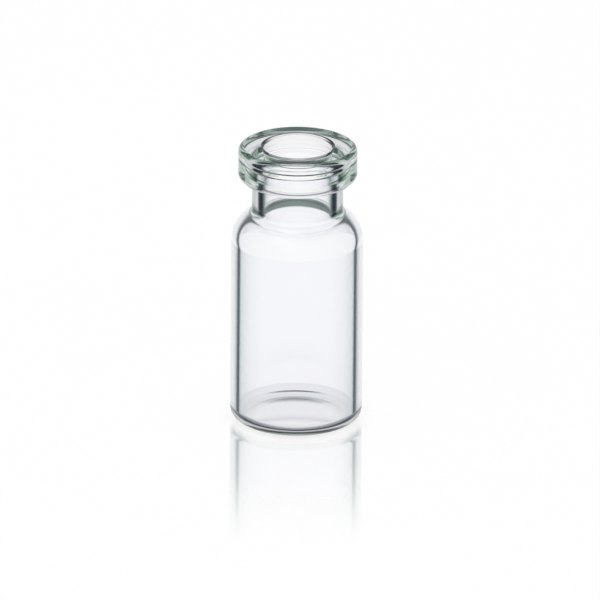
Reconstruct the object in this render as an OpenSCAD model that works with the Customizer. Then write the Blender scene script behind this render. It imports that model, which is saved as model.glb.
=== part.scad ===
// Clear glass sample vial with a crimp flange, formed in one piece from glass tube.
// Millimetres, +Z up. The origin is the centre of the circle that the foot stands on.
//
// The vial is one revolved wall section. The section is the outer outline, less the hollow
// inside and the shallow push-up under the foot. Wherever a hollow round runs into a full
// one, they meet on the line between their centres: a polygon fills the space up to that
// line, and the round that is cut last trims what the polygon and the full round share.

/* [Body] */
// Outside diameter of the body
body_d = 14.6; // [13.6:0.1:18]
// Height of the straight wall, up to where the shoulder starts to turn in
body_h = 21; // [10:0.1:22]
// Glass thickness of the straight wall
wall = 0.85; // [0.6:0.05:1.3]

/* [Foot] */
// Outside rounding of the heel
heel_r = 1.55; // [0.8:0.05:2]
// Inside rounding between the wall and the floor
floor_r = 0.9; // [0.5:0.05:1.6]
// Glass thickness of the floor
floor_t = 0.7; // [0.5:0.05:1.6]
// Width of the flat ring that the vial stands on
ring_w = 0.4; // [0.2:0.05:0.8]
// Rounding between the standing ring and the push-up
ring_r = 0.8; // [0.3:0.05:1.2]
// Height of the push-up at its middle
push_up = 0.55; // [0.3:0.05:1]

/* [Shoulder] */
// Outside rounding of the shoulder
shoulder_r = 3.6; // [2.6:0.1:4]
// Outside fillet between the shoulder and the neck
nape_r = 0.6; // [0.3:0.05:1]
// Inside rounding under the shoulder
vault_r = 2.5; // [2:0.1:3]
// How far below body_h the inside starts to turn in
vault_drop = 0.2; // [0:0.05:0.4]
// Inside rounding where the bore opens into the body
throat_r = 1.4; // [0.6:0.05:1.6]

/* [Neck and flange] */
// Height of the whole vial
total_h = 32; // [31:0.1:40]
// Outside diameter of the neck
neck_d = 10.1; // [9.5:0.1:10.6]
// Diameter of the bore through the neck
bore_d = 7.5; // [6.5:0.1:8]
// Diameter of the crimp flange
flange_d = 13.2; // [12.7:0.05:13.4]
// Height of the crimp flange
flange_h = 4; // [3:0.1:4.4]
// Rounding of the flange's upper edge
brim_r = 0.65; // [0.2:0.05:1]
// Rounding of the flange's lower edge
hem_r = 0.9; // [0.2:0.05:1.1]
// Rounding of the mouth's inner edge
lip_r = 0.37; // [0.1:0.01:0.8]
// Fillet between the neck and the underside of the flange
crimp_r = 0.4; // [0.2:0.05:0.8]

/* [Hidden] */
$fn = 96;
// How far a cut reaches past the surface that it opens
past = 1;
// How deep one round cuts into the one that it meets, so that the two share a clean edge
bite = 0.0005;
glass = [0.80, 0.90, 0.88, 0.4];

// Radii from the diameters
body_r = body_d / 2;
inner_r = body_r - wall;
neck_r = neck_d / 2;
bore_r = bore_d / 2;
flange_r = flange_d / 2;

// Shoulder: the inside turns in lower and tighter than the outside, so the glass is
// thickest where the shoulder meets the neck
shoulder_c = [body_r - shoulder_r, body_h];
vault_c = [inner_r - vault_r, body_h - vault_drop];
nape_c = resting_on(shoulder_c, shoulder_r, neck_r + nape_r, nape_r);
throat_c = resting_on(vault_c, vault_r, bore_r + throat_r, throat_r);

// Flange
flange_z = total_h - flange_h;

// Foot: the push-up is a spherical cap tangent to the ring's rounding, and the floor
// above it is a sphere with the same centre
heel_c = [body_r - heel_r, heel_r];
ring_c = [body_r - heel_r - ring_w, ring_r];
cap_r = (pow(ring_c.x, 2) + pow(push_up, 2) - 2 * ring_r * push_up) / (2 * push_up);
cap_c = [0, push_up - cap_r];
dome_r = cap_r + floor_t;
floor_c = resting_on(cap_c, dome_r, inner_r - floor_r, floor_r);

// Centre, at distance x from the axis, of a round of radius r that rests on the circle of
// radius low_r about low_c
function resting_on(low_c, low_r, x, r) =
    [x, low_c.y + sqrt(pow(low_r + r - bite, 2) - pow(x - low_c.x, 2))];

// A filled circle about a point of the section
module disc(centre, r) {
    translate(centre) circle(r);
}

// A rectangle from the axis out to r, between two heights
module slab(r, low, high) {
    polygon([[0, low], [r, low], [r, high], [0, high]]);
}

// The upper half of a full round about low_c, with the hollow round that rests on it
module s_curve(low_c, low_r, high_c, high_r) {
    difference() {
        union() {
            intersection() {
                disc(low_c, low_r);
                slab(low_c.x + low_r, low_c.y, low_c.y + low_r);
            }
            polygon([[0, low_c.y], low_c, high_c, [0, high_c.y]]);
        }
        disc(high_c, high_r);
    }
}

// A rectangle from the axis with its upper and lower outer corners rounded
module rounded_slab(r, low, high, low_r, high_r) {
    slab(r, low + low_r, high - high_r);
    slab(r - low_r, low, low + low_r);
    slab(r - high_r, high - high_r, high);
    disc([r - low_r, low + low_r], low_r);
    disc([r - high_r, high - high_r], high_r);
}

// Straight wall and heel, closed at the foot
module body_outline() {
    slab(body_r, heel_r, body_h);
    slab(heel_c.x, 0, heel_r);
    disc(heel_c, heel_r);
}

// Shoulder, its fillet and the neck up to the flange
module neck_outline() {
    s_curve(shoulder_c, shoulder_r, nape_c, nape_r);
    slab(neck_r, nape_c.y, flange_z);
}

// Crimp flange with rounded edges and the fillet under it
module flange_outline() {
    rounded_slab(flange_r, flange_z, total_h, hem_r, brim_r);
    difference() {
        slab(neck_r + crimp_r, flange_z - crimp_r, flange_z);
        disc([neck_r + crimp_r, flange_z - crimp_r], crimp_r);
    }
}

// Shallow hollow under the foot, inside the standing ring
module push_up_hollow() {
    difference() {
        union() {
            intersection() {
                disc(cap_c, cap_r);
                polygon([cap_c, ring_c, [0, push_up + past]]);
            }
            polygon([cap_c, ring_c, [ring_c.x, cap_c.y]]);
        }
        disc(ring_c, ring_r);
    }
}

// Floor of the hollow: domed in the middle and rounded up into the wall
module floor_hollow() {
    difference() {
        union() {
            disc(floor_c, floor_r);
            polygon([cap_c, floor_c, [0, floor_c.y]]);
        }
        disc(cap_c, dome_r);
    }
}

// Everything inside the vial, from the floor out through the mouth
module hollow() {
    floor_hollow();
    slab(inner_r, floor_c.y, vault_c.y);
    s_curve(vault_c, vault_r, throat_c, throat_r);
    slab(bore_r, throat_c.y, total_h + past);
    difference() {
        slab(bore_r + lip_r, total_h - lip_r, total_h + past);
        disc([bore_r + lip_r, total_h - lip_r], lip_r);
    }
}

// The glass, as one section turned about the axis
module vial() {
    color(glass)
    rotate_extrude()
    difference() {
        union() {
            body_outline();
            neck_outline();
            flange_outline();
        }
        push_up_hollow();
        hollow();
    }
}

vial();
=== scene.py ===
# %% [markdown]
# # Glass sample vial
# The object is a small laboratory vial that holds about two millilitres. It was formed in
# one piece from a clear glass tube: the foot was closed, the shoulder drawn in, and the
# mouth pressed into a thick flange that a metal cap is crimped over. On the real object
# nothing moves and nothing is printed, so all of its look is glass: where the wall bends,
# it bends the light with it.
#
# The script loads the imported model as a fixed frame, turns a finer version of the same
# section into smooth glass, gives it a material, and sets a pale floor, light and a camera.

# %% Load the frame
import math

import bpy
from mathutils import Matrix, Vector


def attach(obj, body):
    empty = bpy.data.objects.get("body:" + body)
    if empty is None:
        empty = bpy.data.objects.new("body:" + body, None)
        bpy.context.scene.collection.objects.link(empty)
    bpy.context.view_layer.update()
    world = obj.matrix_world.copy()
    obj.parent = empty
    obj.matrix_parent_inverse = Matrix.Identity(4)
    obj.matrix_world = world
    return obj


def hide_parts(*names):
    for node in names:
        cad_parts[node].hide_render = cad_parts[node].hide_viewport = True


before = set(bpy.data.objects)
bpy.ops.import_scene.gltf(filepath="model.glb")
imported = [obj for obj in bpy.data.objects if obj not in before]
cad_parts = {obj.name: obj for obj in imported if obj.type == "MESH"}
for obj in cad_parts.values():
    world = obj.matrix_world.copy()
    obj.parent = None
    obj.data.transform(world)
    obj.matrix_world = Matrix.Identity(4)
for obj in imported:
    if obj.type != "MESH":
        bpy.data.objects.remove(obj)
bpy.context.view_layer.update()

# %% [markdown]
# ## The section
# A formed glass vial is a body of revolution: one wall section, turned about its axis. The
# section could be traced by eye, but glass shows every kink, so it is made here from the
# same straight runs and round arcs as the solid, in millimetres, with the same names.
# Each arc is a centre, a radius and two angles. Arcs that meet share a tangent.

# %% Sizes of the glass, in millimetres
MM = 0.001
BODY_R, BODY_H, WALL = 7.3, 21.0, 0.85
HEEL_R, FLOOR_R, FLOOR_T = 1.55, 0.9, 0.7
RING_W, RING_R, PUSH_UP = 0.4, 0.8, 0.55
SHOULDER_R, NAPE_R = 3.6, 0.6
VAULT_R, VAULT_H, THROAT_R = 2.5, 20.8, 1.4
TOTAL_H, NECK_R, BORE_R = 32.0, 5.05, 3.75
FLANGE_R, FLANGE_H = 6.6, 4.0
BRIM_R, HEM_R, LIP_R, CRIMP_R = 0.65, 0.9, 0.3, 0.4


def resting_on(low, low_r, x, r):
    """Centre, at distance x from the axis, of a round of radius r on the circle about low."""
    return (x, low[1] + math.sqrt((low_r + r) ** 2 - (x - low[0]) ** 2))


inner_r = BODY_R - WALL
ring = (BODY_R - HEEL_R - RING_W, RING_R)
cap_r = (ring[0] ** 2 + PUSH_UP**2 - 2 * RING_R * PUSH_UP) / (2 * PUSH_UP)
cap = (0.0, PUSH_UP - cap_r)
dome_r = cap_r + FLOOR_T
corner = resting_on(cap, dome_r, inner_r - FLOOR_R, FLOOR_R)
shoulder = (BODY_R - SHOULDER_R, BODY_H)
nape = resting_on(shoulder, SHOULDER_R, NECK_R + NAPE_R, NAPE_R)
vault = (inner_r - VAULT_R, VAULT_H)
throat = resting_on(vault, VAULT_R, BORE_R + THROAT_R, THROAT_R)
flange_z = TOTAL_H - FLANGE_H
print(f"push-up radius {cap_r:.2f} mm, shoulder meets neck at {nape[1]:.2f} mm")

# %% [markdown]
# ## Points along the section
# An arc becomes points every few degrees. A straight run needs only its ends, but a smooth
# normal is shared between a point's neighbours, and beside a long face it would lean and
# bend the light wrongly. So a run gets a few points close to each end.

# %% Arcs and runs as points
# The widest angle between two points of an arc, in degrees, and the fewest steps in a curve
ARC_STEP = 3.0
LEAST_STEPS = 4
# How far the points near the end of a run lie from that end, and the longest step between
# the others, in millimetres
EASE = (0.0, 0.02, 0.06, 0.14, 0.3, 0.6)
LONGEST_STEP = 1.2


def towards(a, b):
    """The angle, in degrees, from point a to point b."""
    return math.degrees(math.atan2(b[1] - a[1], b[0] - a[0]))


def arc(centre, r, start, end):
    """Points on a round, from one angle to another, in degrees."""
    steps = max(LEAST_STEPS, math.ceil(abs(end - start) / ARC_STEP))
    return [
        (centre[0] + r * math.cos(math.radians(a)), centre[1] + r * math.sin(math.radians(a)))
        for a in (start + (end - start) * i / steps for i in range(steps + 1))
    ]


def run(a, b):
    """Points along a straight run, closer together near both ends."""
    length = math.dist(a, b)
    near = [d for d in EASE if d < length / 2]
    span = length - 2 * near[-1]
    middle = max(1, math.ceil(span / LONGEST_STEP))
    along = near + [near[-1] + span * i / middle for i in range(1, middle)]
    along += [length - d for d in reversed(near)]
    return [(a[0] + (b[0] - a[0]) * d / length, a[1] + (b[1] - a[1]) * d / length) for d in along]


# %% [markdown]
# ## Marks of the pressing tool
# Such a mouth is pressed round a plug while it is soft, and here the plug is taken to have
# left shallow rings in the upper bore. They are finer than the solid needs, yet light picks
# them out as thin curved lines. They are given as a few radii and heights, from the top
# down, joined by smooth steps.

# %% Rings inside the mouth
RINGS = [(3.82, 31.7), (3.92, 31.1), (3.90, 30.95), (3.95, 30.6), (3.95, 30.35), (3.80, 30.1),
         (3.83, 29.75), (3.75, 29.5)]
# Which of them start the widest ring and the last one
WIDEST_RING, LAST_RING = 3, 6
RING_STEP = 0.04


def rings(marks):
    """Points through the marks, with the radius easing from each mark to the next."""
    points = []
    for (r, z), (next_r, next_z) in zip(marks, marks[1:]):
        steps = max(LEAST_STEPS, math.ceil((z - next_z) / RING_STEP))
        for i in range(steps):
            ease = (1 - math.cos(math.pi * i / steps)) / 2
            points.append((r + (next_r - r) * ease, z + (next_z - z) * i / steps))
    return points


print(len(rings(RINGS)), "points in the rings")

# %% [markdown]
# ## The parts of the section
# The section runs from the middle of the foot, up the outside, over the mouth and down the
# inside to the middle of the floor. It is kept as a list of named parts, because glass
# doesn't look the same everywhere: each part will get its own painted shade in the material.

# %% Where arcs meet, and the centres of the other rounds
ring_turn = towards(cap, ring)
nape_turn = towards(shoulder, nape)
throat_turn = towards(vault, throat)
corner_turn = towards(cap, corner)
heel = (BODY_R - HEEL_R, HEEL_R)
crimp = (NECK_R + CRIMP_R, flange_z - CRIMP_R)
hem = (FLANGE_R - HEM_R, flange_z + HEM_R)
brim = (FLANGE_R - BRIM_R, TOTAL_H - BRIM_R)
lip = (RINGS[0][0] + LIP_R, TOTAL_H - LIP_R)
print(f"shoulder turns through {nape_turn:.1f} degrees")

# %% Section in parts, from the foot round to the floor
# The painted shade line is a narrow band of the heel, between two angles: a thin dark line
# of painted shade, with no shape of its own. The painted shade changes over the edge.
SHADE_LINE_LOW, SHADE_LINE_HIGH, SHADE_LINE_EDGE = -48, -40, 1
# The collar is the top of the bore, from the last ring down to this height
COLLAR_Z = 28.6

PARTS = {
    "foot": arc(cap, cap_r, 90, ring_turn) + arc(ring, RING_R, ring_turn + 180, 270),
    "heel": run((ring[0], 0), (heel[0], 0))
    + arc(heel, HEEL_R, -90, SHADE_LINE_LOW - SHADE_LINE_EDGE),
    # The band of the heel that carries the painted shade line
    "painted shade line": arc(heel, HEEL_R, SHADE_LINE_LOW, SHADE_LINE_HIGH),
    "heel top": arc(heel, HEEL_R, SHADE_LINE_HIGH + SHADE_LINE_EDGE, 0),
    "wall": run((BODY_R, HEEL_R), (BODY_R, BODY_H)),
    "shoulder": arc(shoulder, SHOULDER_R, 0, nape_turn),
    "neck": arc(nape, NAPE_R, nape_turn + 180, 180)
    + run((NECK_R, nape[1]), (NECK_R, crimp[1]))
    + arc(crimp, CRIMP_R, 180, 90),
    "hem": run((crimp[0], flange_z), (hem[0], flange_z)) + arc(hem, HEM_R, -90, 0),
    "side": run((FLANGE_R, hem[1]), (FLANGE_R, brim[1])),
    "brim": arc(brim, BRIM_R, 0, 90) + run((brim[0], TOTAL_H), (lip[0], TOTAL_H)),
    "lip": arc(lip, LIP_R, 90, 180),
    "mouth": rings(RINGS[: WIDEST_RING + 1]),
    "rings": rings(RINGS[WIDEST_RING : LAST_RING + 1]),
    "last ring": rings(RINGS[LAST_RING:]),
    "collar": run(RINGS[-1], (BORE_R, COLLAR_Z)),
    "bore": run((BORE_R, COLLAR_Z), (BORE_R, throat[1])),
    "throat": arc(throat, THROAT_R, 180, throat_turn + 180),
    "vault": arc(vault, VAULT_R, throat_turn, 0),
    "inside": run((inner_r, VAULT_H), (inner_r, corner[1])),
    "corner": arc(corner, FLOOR_R, 0, corner_turn - 180),
    "floor": arc(cap, dome_r, corner_turn, 90),
}

# %% The parts joined to one line
# Points nearer to each other than this, in millimetres, count as one
SAME = 1e-4
section, part_numbers = [], []
for number, points in enumerate(PARTS.values()):
    for point in points:
        if not section or math.dist(point, section[-1]) > SAME:
            section.append(point)
            part_numbers.append(float(number))
section[0] = (0.0, section[0][1])
section[-1] = (0.0, section[-1][1])
print(len(PARTS), "parts,", len(section), "points")

# %% [markdown]
# ## Turning the section
# Geometry Nodes can do what a lathe does. A grid has one row of points for each point of the
# section and one column for each step round the axis. Every point of the grid looks up
# its place on the section and swings it round by its column's angle. Merging points that
# fall on each other then closes the join and the two poles. Each point also keeps the
# number of its part, for the material to read.

# %% Section as a mesh
section_mesh = bpy.data.meshes.new("section")
section_mesh.from_pydata(
    [(x * MM, 0.0, z * MM) for x, z in section],
    [(i, i + 1) for i in range(len(section) - 1)],
    [],
)
section_mesh.attributes.new("part", "FLOAT", "POINT").data.foreach_set("value", part_numbers)
vial = bpy.data.objects.new("glass_vial", section_mesh)
bpy.context.scene.collection.objects.link(vial)


# %% A helper that adds a node
def add(tree, kind, inputs=(), **settings):
    """Adds a node, sets its properties, and links or sets each of its inputs."""
    node = tree.nodes.new(kind)
    for name, value in settings.items():
        setattr(node, name, value)
    for name, value in dict(inputs).items():
        if isinstance(value, bpy.types.NodeSocket):
            tree.links.new(value, node.inputs[name])
        else:
            node.inputs[name].default_value = value
    return node


# %% The lathe as a node tree
lathe = bpy.data.node_groups.new("lathe", "GeometryNodeTree")
sockets = {"Geometry": "NodeSocketGeometry", "Steps round": "NodeSocketInt",
           "Merge distance": "NodeSocketFloat", "Glass": "NodeSocketMaterial"}
inputs = {
    name: lathe.interface.new_socket(name, in_out="INPUT", socket_type=kind).identifier
    for name, kind in sockets.items()
}
lathe.interface.new_socket("Geometry", in_out="OUTPUT", socket_type="NodeSocketGeometry")

given = add(lathe, "NodeGroupInput").outputs
line = given["Geometry"]
count = add(
    lathe, "GeometryNodeAttributeDomainSize", {"Geometry": line}, component="MESH"
).outputs["Point Count"]
columns = add(
    lathe, "ShaderNodeMath", {0: given["Steps round"], 1: 1.0}, operation="ADD"
).outputs[0]
grid = add(
    lathe, "GeometryNodeMeshGrid", {"Vertices X": columns, "Vertices Y": count}
).outputs["Mesh"]

# %% Each point's column and row give its angle and its place on the section
index = add(lathe, "GeometryNodeInputIndex").outputs[0]
share = add(lathe, "ShaderNodeMath", {0: index, 1: count}, operation="DIVIDE").outputs[0]
column = add(lathe, "ShaderNodeMath", {0: share}, operation="FLOOR").outputs[0]
row = add(lathe, "ShaderNodeMath", {0: index, 1: count}, operation="MODULO").outputs[0]
turn = add(
    lathe, "ShaderNodeMath", {0: column, 1: given["Steps round"]}, operation="DIVIDE"
).outputs[0]
angle = add(lathe, "ShaderNodeMath", {0: turn, 1: math.tau}, operation="MULTIPLY").outputs[0]
on_section = add(
    lathe, "GeometryNodeSampleIndex",
    {"Geometry": line, "Value": add(lathe, "GeometryNodeInputPosition").outputs[0], "Index": row},
    data_type="FLOAT_VECTOR",
).outputs["Value"]
swung = add(
    lathe, "ShaderNodeVectorRotate", {"Vector": on_section, "Angle": angle},
    rotation_type="Z_AXIS",
).outputs[0]
turned = add(
    lathe, "GeometryNodeSetPosition", {"Geometry": grid, "Position": swung}
).outputs[0]

# %% Mark the parts, close the join and give it the glass
part = add(
    lathe, "GeometryNodeInputNamedAttribute", {"Name": "part"}, data_type="FLOAT"
).outputs["Attribute"]
part_of_row = add(
    lathe, "GeometryNodeSampleIndex", {"Geometry": line, "Value": part, "Index": row},
    data_type="FLOAT",
).outputs["Value"]
marked = add(
    lathe, "GeometryNodeStoreNamedAttribute",
    {"Geometry": turned, "Name": "part", "Value": part_of_row},
    data_type="FLOAT", domain="POINT",
).outputs[0]
closed = add(
    lathe, "GeometryNodeMergeByDistance",
    {"Geometry": marked, "Distance": given["Merge distance"]},
).outputs[0]
smooth = add(lathe, "GeometryNodeSetShadeSmooth", {"Geometry": closed}).outputs[0]
real = add(lathe, "GeometryNodeRealizeInstances", {"Geometry": smooth}).outputs[0]
coated = add(
    lathe, "GeometryNodeSetMaterial", {"Geometry": real, "Material": given["Glass"]}
).outputs[0]
add(lathe, "NodeGroupOutput", {"Geometry": coated})
print("lathe tree:", len(lathe.nodes), "nodes")

# %% [markdown]
# ## The glass
# Clear glass shows mostly what is behind it. In a studio a small glass thing often stands
# before a bright field that ends just beside the view: light that was bent a little stays
# bright, and light that was bent hard comes from the dark room beside the field. That is
# what draws the dark lines along the walls. A small scene could be given such a field, but
# its edges would be right for one view only. Here that shade is painted into the glass
# instead. Light that leaves the glass, or is turned back inside it, is dimmed by how
# slanting it meets the surface, and each part of the section has its own scale of painted
# shade for that. The painted shade line is such a part: a narrow band in the heel that
# draws a thin dark line of painted shade. The scales are a tuned look and not measured
# optics. They suit a view from a little above best.

# %% Colours
def rgb(code):
    """The linear colour of an sRGB hex value."""
    parts = [int(code[i : i + 2], 16) / 255 for i in (1, 3, 5)]
    return [c / 12.92 if c <= 0.04045 else ((c + 0.055) / 1.055) ** 2.4 for c in parts] + [1.0]


def set_stops(scale, stops):
    """Gives a colour scale its stops, as positions and colours. It starts out with two."""
    for _ in stops[2:]:
        scale.elements.new(0.5)
    for element, (position, code) in zip(scale.elements, stops):
        element.position = position
        element.color = rgb(code)


# %% The painted shade of each part
# Painted shade: each stop is how slanting the light is, from 0 straight on to 1 along the
# surface, and how much of it is left. Glass turns all inner light back from about 0.255 on.
# The heel has the same scale below and above its painted shade line.
PLAIN_HEEL = [(0, "#eeeef1"), (0.16, "#eff0f3"), (0.265, "#ffffff")]
PAINTED_SHADES = {
    "foot": [
        (0, "#f3f3f3"), (0.12, "#ffffff"), (0.2, "#ffffff"), (0.2075, "#e7e6e9"),
        (0.215, "#f9f9f9"), (0.222, "#ffffff"), (0.248, "#ffffff"), (0.2505, "#bcc4c7"),
        (0.2535, "#616e72"), (0.4, "#6c7678"), (0.6, "#adafb0"), (1, "#cbcbcb"),
    ],
    "heel": PLAIN_HEEL,
    # A thin dark line of painted shade low in the heel
    "painted shade line": [
        (0, "#303a49"), (0.028, "#303a49"), (0.042, "#959fad"), (0.065, "#e7e9ec"),
        (0.16, "#eff0f3"), (0.265, "#ffffff"),
    ],
    "heel top": PLAIN_HEEL,
    "wall": [
        (0, "#fefeff"), (1, "#fdfdfe"),
    ],
    "shoulder": [
        (0, "#fcfbff"), (0.08, "#fcfcff"), (0.12, "#f1f1f5"), (0.14, "#dee0e6"),
        (0.17, "#f0eef6"), (0.2075, "#f6f8fc"), (0.2225, "#f1f3f7"), (0.262, "#b2bab4"),
        (0.3, "#bcc0bf"), (0.37, "#c4c8c6"), (0.42, "#bcc0c0"), (0.5, "#b1b7b9"),
        (0.6, "#adb4b5"), (0.7, "#e7e7e7"), (1, "#ffffff"),
    ],
    "neck": [
        (0, "#ffffff"), (0.12, "#ffffff"), (0.14, "#cfdde3"), (0.16, "#9db1bd"),
        (0.18, "#b4c4cc"), (0.2, "#ffffff"), (0.2225, "#f0eff4"), (0.34, "#fdfdfd"),
        (0.38, "#eae9e6"), (0.44, "#ffffff"), (0.6, "#ffffff"), (0.7, "#b8c8ba"),
        (0.8, "#a5b4a8"), (0.9, "#d6d7d3"),
    ],
    "hem": [
        (0, "#fbfbfe"), (0.06, "#fffdff"), (0.1, "#f1f1f4"), (0.17, "#f3f3f7"), (0.2, "#efeff2"),
        (0.225, "#e2e2e5"), (0.24, "#cbcbcb"), (0.258, "#95989a"), (0.32, "#999d9f"),
        (0.36, "#e7e7e7"), (0.5, "#fdffff"), (0.8, "#ffffff"),
    ],
    "side": [
        (0, "#f7f7f7"), (0.06, "#f7f7f7"), (0.12, "#dadbe1"), (0.14, "#dddfe6"),
        (0.18, "#fafafa"), (0.255, "#f3f6f3"), (0.33, "#f1f4f2"), (0.38, "#e7edeb"),
        (0.46, "#e7edea"), (0.62, "#edf2ef"), (0.75, "#ffffff"), (1, "#ffffff"),
    ],
    "brim": [
        (0.06, "#ffffff"), (0.1, "#e6e7f9"), (0.14, "#ffffff"), (0.8, "#ffffff"),
    ],
    "lip": [
        (0, "#fcfcfc"), (0.28, "#f7f7f7"), (0.38, "#cbcdcd"), (0.46, "#959999"),
        (0.54, "#696d6d"), (0.62, "#616667"), (0.67, "#76797a"), (0.73, "#8b8b8a"),
        (0.79, "#7c7978"), (0.86, "#5d5a59"), (1, "#454242"),
    ],
    "mouth": [
        (0, "#fcfcfc"), (0.12, "#fcfcfc"), (0.2, "#f3f3f3"), (0.25, "#dadada"),
        (0.262, "#c4c8c6"), (0.42, "#bcc0be"), (0.47, "#ced3d1"), (0.505, "#383d3e"),
        (0.66, "#303438"), (0.74, "#616666"), (0.85, "#bcbcbc"), (1, "#cbcbcb"),
    ],
    "rings": [
        (0, "#fdfdfe"), (0.14, "#fcfcfc"), (0.2, "#f3f3f3"), (0.235, "#cbcbcb"),
        (0.262, "#3f4448"), (0.4, "#303438"), (0.43, "#454949"), (0.47, "#dadfe1"),
        (0.54, "#f3f3f3"), (0.7, "#edf2ef"), (1, "#e7e7e7"),
    ],
    "last ring": [
        (0, "#fdfdfe"), (0.14, "#fcfcfc"), (0.2, "#f3f3f3"), (0.235, "#cbcbcb"),
        (0.262, "#7c7e81"), (0.34, "#898c8f"), (0.38, "#cbced0"), (0.44, "#cbced0"),
        (0.6, "#cbcfd0"), (1, "#e7e7e7"),
    ],
    "collar": [
        (0.02, "#fbfcfe"), (0.12, "#fbfaff"), (0.18, "#e6e9ef"), (0.2225, "#b4bfc0"),
        (0.27, "#c4cccc"), (0.34, "#e2e8e6"), (0.37, "#b0bab6"), (0.395, "#56645f"),
        (0.43, "#5f6f69"), (0.5, "#90a396"), (0.6, "#cfdccd"), (0.7, "#ffffff"),
        (0.9, "#ffffff"),
    ],
    "bore": [
        (0, "#fafafc"), (0.16, "#f9f9f9"), (0.21, "#f1f1f1"), (0.227, "#e5e5e5"),
        (0.241, "#c7c8c9"), (0.256, "#909395"), (0.272, "#5d6266"), (0.289, "#4b4f54"),
        (0.325, "#4b4f54"), (0.345, "#9ea0a1"), (0.366, "#e2e2e2"), (0.42, "#f1f1f1"),
        (0.5, "#f7f7f7"), (1, "#f3f3f3"),
    ],
    "throat": [
        (0, "#fbfbfe"), (0.18, "#f8f8fb"), (0.2225, "#ffffff"), (0.25, "#ffffff"),
        (0.27, "#d6d8dd"), (0.3225, "#feffff"), (0.38, "#ffffff"), (0.42, "#dce7e0"),
        (0.6, "#ffffff"),
    ],
    "vault": [
        (0, "#fcfdfe"), (0.2, "#f6f6f8"), (0.235, "#eff0f2"), (0.2415, "#bcbfc0"),
        (0.2465, "#50575b"), (0.259, "#50595b"), (0.266, "#a0a7a8"), (0.276, "#e1e3e4"),
        (0.287, "#f7f7f7"), (0.32, "#fcfcfc"), (1, "#fcfcfc"),
    ],
    "inside": [
        (0, "#f9f9fc"), (0.1, "#f8f8fb"), (0.166, "#f0f1f3"), (0.2, "#e6e8ea"),
        (0.2165, "#e1e4e6"), (0.2326, "#d0d6d9"), (0.241, "#a4b3b7"), (0.2465, "#293b41"),
        (0.261, "#293b41"), (0.268, "#849599"), (0.2776, "#c4cbcd"), (0.2975, "#e6e9ea"),
        (0.3187, "#f2f2f2"), (0.34, "#fcfcfc"), (1, "#fdfdfd"),
    ],
    "corner": [
        (0, "#f3f3f3"), (0.1, "#f1f1f1"), (0.15, "#eaeaea"), (0.2, "#c0c2c4"),
        (0.245, "#a2a5a6"), (0.28, "#9ea2a6"), (0.305, "#737881"), (0.33, "#27324b"),
        (0.38, "#303c52"), (0.41, "#aaadb0"), (0.44, "#e1e2e1"), (0.5, "#cbcbcb"),
        (0.54, "#818384"), (0.58, "#383b3e"), (0.7, "#272929"), (0.85, "#959595"),
        (1, "#bcbcbc"),
    ],
    "floor": [
        (0, "#d4d5d9"), (0.5, "#d4d5d9"), (0.8, "#d4d5d9"), (0.9, "#bcbfc4"), (1, "#ffffff"),
    ],
}
print("stops in all:", sum(len(stops) for stops in PAINTED_SHADES.values()))

# %% The painted shade of the part that the light meets
# A Mix node keeps sockets for several kinds of value under the same names, so they go by
# number: the two values that it mixes, the two colours, and the mixed colour
VALUE_A, VALUE_B = 2, 3
COLOUR_A, COLOUR_B, COLOUR_OUT = 6, 7, 2

glass = bpy.data.materials.new("clear_tube_glass")
glass.use_nodes = True
tree = glass.node_tree
tree.nodes.clear()
slant = add(tree, "ShaderNodeLayerWeight", {"Blend": 0.5}).outputs["Facing"]
part = add(tree, "ShaderNodeAttribute", attribute_name="part").outputs["Fac"]
# Painted shade: each part's scale is mixed in by the part number
painted_shade = None
for number, name in enumerate(PARTS):
    scale = add(tree, "ShaderNodeValToRGB", {"Fac": slant}, label=name)
    set_stops(scale.color_ramp, PAINTED_SHADES[name])
    if painted_shade is None:
        painted_shade = scale.outputs["Color"]
        continue
    beyond = add(
        tree, "ShaderNodeMapRange", {"Value": part, "From Min": number - 1.0, "From Max": number}
    ).outputs[0]
    painted_shade = add(
        tree, "ShaderNodeMix",
        {"Factor": beyond, COLOUR_A: painted_shade, COLOUR_B: scale.outputs["Color"]},
        data_type="RGBA",
    ).outputs[COLOUR_OUT]
print("scales:", len(PAINTED_SHADES))

# %% Stretches of the section that are told apart
# A stretch reaches half a number below its first part and half a number above its last
BETWEEN = 0.5
order = list(PARTS)
STRETCHES = {
    "lip": ("lip", "lip"),
    "hem": ("hem", "hem"),
    "neck and flange": ("neck", "throat"),
    "up top": ("shoulder", "vault"),
}
within = {}
for name, (first, last) in STRETCHES.items():
    low, high = order.index(first) - BETWEEN, order.index(last) + BETWEEN
    within[name] = add(
        tree, "ShaderNodeMath", {0: part, 1: (low + high) / 2, 2: (high - low) / 2},
        operation="COMPARE", label=name,
    ).outputs[0]
print("stretches:", ", ".join(within))

# %% [markdown]
# ## Light that passes and light that is mirrored
# Glass splits light in two at every surface. Most goes through and is bent, and the rest is
# mirrored, more and more of it as the light comes in slanting. The split is built from its
# two halves, so that each can be dimmed by itself. Inside the glass both take the painted
# shade of the part. Light that enters is left alone but for the rolled lip and the lower edge
# of the flange, which get painted shade on it too, for the dark of a room that the scene
# doesn't have. From outside, the neck and the flange get a painted reflection of that dark
# room, in the middle range of slants.

# %% The painted reflection of a dark room, and the parts with painted shade on entering light
IOR = 1.5
WHITE = rgb("#ffffff")
# Painted reflection: how dark the outside gloss of the neck and flange is made, by slant, for a
# dark room that the scene doesn't have
PAINTED_ROOM_REFLECTION = [
    (0.06, "#ffffff"), (0.25, "#808080"), (0.35, "#606060"), (0.68, "#606060"), (0.95, "#ffffff"),
]
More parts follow.
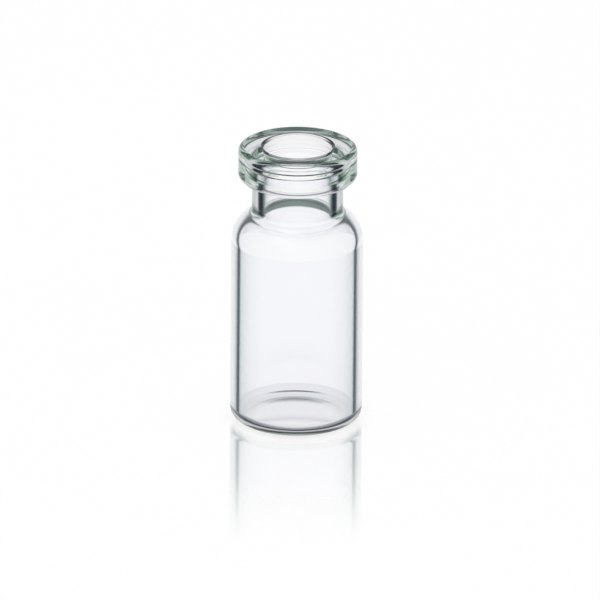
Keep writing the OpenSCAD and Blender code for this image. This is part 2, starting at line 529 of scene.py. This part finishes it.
# Where painted shade applies: light inside the glass, and light entering the lip and the hem
inward = add(tree, "ShaderNodeNewGeometry").outputs["Backfacing"]
for name in ("lip", "hem"):
    inward = add(
        tree, "ShaderNodeMath", {0: inward, 1: within[name]}, operation="MAXIMUM"
    ).outputs[0]
painted_room_reflection = add(tree, "ShaderNodeValToRGB", {"Fac": slant}, label="the room")
set_stops(painted_room_reflection.color_ramp, PAINTED_ROOM_REFLECTION)
# The outside gloss: white, or the painted room reflection on the neck and the flange
outside = add(
    tree, "ShaderNodeMix",
    {"Factor": within["neck and flange"], COLOUR_A: WHITE, COLOUR_B: painted_room_reflection.outputs["Color"]},
    data_type="RGBA",
).outputs[COLOUR_OUT]

# %% What passes and what is mirrored
# Both halves carry painted shade where it applies; elsewhere the mirrored half carries the
# outside gloss
passed = add(
    tree, "ShaderNodeMix", {"Factor": inward, COLOUR_A: WHITE, COLOUR_B: painted_shade}, data_type="RGBA"
).outputs[COLOUR_OUT]
mirrored = add(
    tree, "ShaderNodeMix", {"Factor": inward, COLOUR_A: outside, COLOUR_B: painted_shade},
    data_type="RGBA",
).outputs[COLOUR_OUT]
through = add(tree, "ShaderNodeBsdfRefraction", {"Color": passed, "IOR": IOR, "Roughness": 0.0})
gloss = add(tree, "ShaderNodeBsdfGlossy", {"Color": mirrored, "Roughness": 0.0})
fresnel = add(tree, "ShaderNodeFresnel", {"IOR": IOR}).outputs[0]
clear = add(tree, "ShaderNodeMixShader", {0: fresnel, 1: through.outputs[0], 2: gloss.outputs[0]})
print("glass so far:", len(tree.nodes), "nodes")

# %% [markdown]
# ## Light that stays in the glass
# A thick ring of glass can turn light round and round inside. A renderer gives up on such
# light and leaves black spots, where real glass shows a faint green. After a few turns the
# light is therefore swapped for painted light: the glass glows there as if it were a lamp,
# in a colour that depends on where the light got stuck. The green itself is a very thin tint
# in the body of the glass, which shows most where the light has gone a long way.

# %% Painted glow for light that found no way out
# Each colour of the painted glow holds from the named part up to the next one named
PAINTED_GLOW = [
    ("foot", "#a8bab2"), ("shoulder", "#b0c0b8"), ("neck", "#c8d8d0"), ("bore", "#7e8e90"),
    ("inside", "#a8bab2"),
]
MOST_TURNS, MOST_TURNS_UP_TOP = 3.5, 2.5
most = add(
    tree, "ShaderNodeMix",
    {"Factor": within["up top"], VALUE_A: MOST_TURNS, VALUE_B: MOST_TURNS_UP_TOP},
    data_type="FLOAT",
).outputs[0]
turns = add(tree, "ShaderNodeLightPath").outputs["Glossy Depth"]
stuck = add(tree, "ShaderNodeMath", {0: turns, 1: most}, operation="GREATER_THAN").outputs[0]
place = add(
    tree, "ShaderNodeMath", {0: part, 1: float(len(PARTS))}, operation="DIVIDE"
).outputs[0]
painted_glow_scale = add(tree, "ShaderNodeValToRGB", {"Fac": place}, label="light that found no way out")
painted_glow_scale.color_ramp.interpolation = "CONSTANT"
set_stops(
    painted_glow_scale.color_ramp,
    [(max(0.0, (order.index(name) - BETWEEN) / len(PARTS)), code) for name, code in PAINTED_GLOW],
)

# %% Clear tube glass
# The tint in the body of the glass, and how fast it builds up, per metre
TINT, TINT_DENSITY = rgb("#d3e2da"), 14.0
# Painted light: an emission in the glass, though it is no lamp
painted_glow = add(tree, "ShaderNodeEmission", {"Color": painted_glow_scale.outputs["Color"], "Strength": 1.0})
whole = add(tree, "ShaderNodeMixShader", {0: stuck, 1: clear.outputs[0], 2: painted_glow.outputs[0]})
tint = add(tree, "ShaderNodeVolumeAbsorption", {"Color": TINT, "Density": TINT_DENSITY})
add(
    tree, "ShaderNodeOutputMaterial",
    {"Surface": whole.outputs[0], "Volume": tint.outputs[0]},
)
print("glass:", len(tree.nodes), "nodes")

# %% [markdown]
# ## The finished vial
# The section, the lathe and the glass come together. The turned mesh then takes the place
# of the section, and the lathe is taken off, so that the vial is a plain mesh.

# %% Turn the section
# Enough steps for a round rim, and how near points must be to be merged, in metres
STEPS_ROUND = 200
MERGE_WITHIN = 1e-7
modifier = vial.modifiers.new("lathe", "NODES")
modifier.node_group = lathe
modifier[inputs["Steps round"]] = STEPS_ROUND
modifier[inputs["Merge distance"]] = MERGE_WITHIN
modifier[inputs["Glass"]] = glass
bpy.context.view_layer.update()
depsgraph = bpy.context.evaluated_depsgraph_get()
turned_mesh = bpy.data.meshes.new_from_object(vial.evaluated_get(depsgraph))
vial.modifiers.clear()
vial.data = turned_mesh
print(len(turned_mesh.vertices), "points,", len(turned_mesh.polygons), "faces")

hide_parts("vial")
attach(vial, "root")

# %% [markdown]
# ## The floor
# The vial stands on a polished white sheet, which mirrors it softly. A real sheet would go
# on mirroring to the horizon. Here the mirror fades away from the vial, and close beside the
# foot too, where the bent light would only tangle. The floor is mostly its own white light,
# so that it reads as white from every side, with a share of matt paint that takes the
# vial's faint shadow.

# %% A round floor
# Its radius and how far below the foot it lies, in millimetres, and its number of sides
FLOOR_SIZE, FLOOR_DROP, FLOOR_SIDES = 600.0, 0.02, 96
disc = bpy.data.meshes.new("floor")
disc.from_pydata(
    [
        (
            FLOOR_SIZE * MM * math.cos(math.tau * i / FLOOR_SIDES),
            FLOOR_SIZE * MM * math.sin(math.tau * i / FLOOR_SIDES),
            -FLOOR_DROP * MM,
        )
        for i in range(FLOOR_SIDES)
    ],
    [],
    [range(FLOOR_SIDES)],
)
floor = bpy.data.objects.new("floor", disc)
bpy.context.scene.collection.objects.link(floor)
print("floor:", 2 * FLOOR_SIZE, "mm across")

# %% Polished white sheet
# How strongly the sheet mirrors, and between which distances from the axis that fades out
MIRROR, FADE_FROM, FADE_TO = 0.56, 10 * MM, 42 * MM
# The share of it that is left beside the foot, and between which distances it comes back
BESIDE, BESIDE_FROM, BESIDE_TO = 0.15, 7.2 * MM, 9.2 * MM
MATT_SHARE, MATT_PAINT = 0.15, rgb("#f4f4f4")
POLISH_ROUGHNESS = 0.02

sheet = bpy.data.materials.new("polished_white_sheet")
sheet.use_nodes = True
tree = sheet.node_tree
tree.nodes.clear()
place = add(tree, "ShaderNodeTexCoord").outputs["Object"]
distance = add(tree, "ShaderNodeVectorMath", {0: place}, operation="LENGTH").outputs["Value"]
mirror = add(
    tree, "ShaderNodeMapRange",
    {"Value": distance, "From Min": FADE_FROM, "From Max": FADE_TO, "To Min": MIRROR,
     "To Max": 0.0},
    interpolation_type="SMOOTHSTEP",
).outputs[0]
beside = add(
    tree, "ShaderNodeMapRange",
    {"Value": distance, "From Min": BESIDE_FROM, "From Max": BESIDE_TO, "To Min": BESIDE,
     "To Max": 1.0},
    interpolation_type="SMOOTHSTEP",
).outputs[0]
mirror = add(tree, "ShaderNodeMath", {0: mirror, 1: beside}, operation="MULTIPLY").outputs[0]
direct = add(tree, "ShaderNodeLightPath").outputs["Is Camera Ray"]
seen = add(tree, "ShaderNodeMath", {0: mirror, 1: direct}, operation="MULTIPLY").outputs[0]
white = add(tree, "ShaderNodeEmission", {"Color": WHITE, "Strength": 1.0})
matt = add(tree, "ShaderNodeBsdfDiffuse", {"Color": MATT_PAINT})
paint = add(
    tree, "ShaderNodeMixShader", {0: MATT_SHARE, 1: white.outputs[0], 2: matt.outputs[0]}
)
polish = add(tree, "ShaderNodeBsdfGlossy", {"Color": WHITE, "Roughness": POLISH_ROUGHNESS})
both = add(tree, "ShaderNodeMixShader", {0: seen, 1: paint.outputs[0], 2: polish.outputs[0]})
add(tree, "ShaderNodeOutputMaterial", {"Surface": both.outputs[0]})
disc.materials.append(sheet)
print("sheet:", len(tree.nodes), "nodes")

# %% [markdown]
# ## Light
# The glass needs an even white surrounding more than it needs lamps. The world is white all
# round, at a strength that shows white as white, and one broad soft lamp above gives the
# floor a little shadow.

# %% World
world = bpy.data.worlds.new("white_studio")
bpy.context.scene.world = world
world.use_nodes = True
tree = world.node_tree
tree.nodes.clear()
air = add(tree, "ShaderNodeBackground", {"Color": WHITE, "Strength": 1.0})
add(tree, "ShaderNodeOutputWorld", {"Surface": air.outputs[0]})
print("world:", world.name)

# %% Soft lamp
# Its width, where it hangs and the point that it looks at, in metres, and its power in watts
LAMP_WIDTH, LAMP_PLACE, LAMP_AIM = 0.3, (-0.1, -0.1, 0.4), (0, 0, 0.015)
LAMP_POWER = 0.15
lamp_data = bpy.data.lights.new("soft_lamp", "AREA")
lamp_data.size = LAMP_WIDTH
lamp_data.energy = LAMP_POWER
lamp = bpy.data.objects.new("soft_lamp", lamp_data)
lamp.location = LAMP_PLACE
lamp.rotation_euler = (Vector(LAMP_AIM) - lamp.location).to_track_quat("-Z", "Y").to_euler()
bpy.context.scene.collection.objects.link(lamp)
print("lamp:", LAMP_POWER, "W")

# %% [markdown]
# ## The camera
# The vial is seen from a little above, without perspective, as through a long lens from far
# away. It leans in the view by less than half a degree, as hand-placed things do.

# %% Camera
# The scale and the width of the view, in pixels, and its middle, in pixels to the right of
# and above the centre of the foot
PX_PER_MM = 9.0375
PICTURE = 600
CENTRE = (4.1, 116.9)
ELEVATION, LEAN = math.radians(20.3), math.radians(0.433)
# How far off the camera stands, and the nearest and farthest that it sees, in metres
AWAY, NEAREST, FARTHEST = 0.3, 0.01, 10
camera_data = bpy.data.cameras.new("camera")
camera_data.type = "ORTHO"
camera_data.ortho_scale = PICTURE / PX_PER_MM * MM
camera_data.clip_start = NEAREST
camera_data.clip_end = FARTHEST
camera = bpy.data.objects.new("camera", camera_data)
bpy.context.scene.collection.objects.link(camera)
bpy.context.scene.camera = camera

# %% Aim the camera
level = Vector((1, 0, 0))
upright = Vector((0, math.sin(ELEVATION), math.cos(ELEVATION)))
right = level * math.cos(LEAN) + upright * math.sin(LEAN)
up = upright * math.cos(LEAN) - level * math.sin(LEAN)
back = right.cross(up)
target = (right * CENTRE[0] + up * CENTRE[1]) / PX_PER_MM * MM
aim = Matrix((right, up, back)).transposed().to_4x4()
camera.matrix_world = Matrix.Translation(target + back * AWAY) @ aim
bpy.context.scene.view_settings.view_transform = "Standard"
print("camera at", [round(c, 4) for c in camera.location])
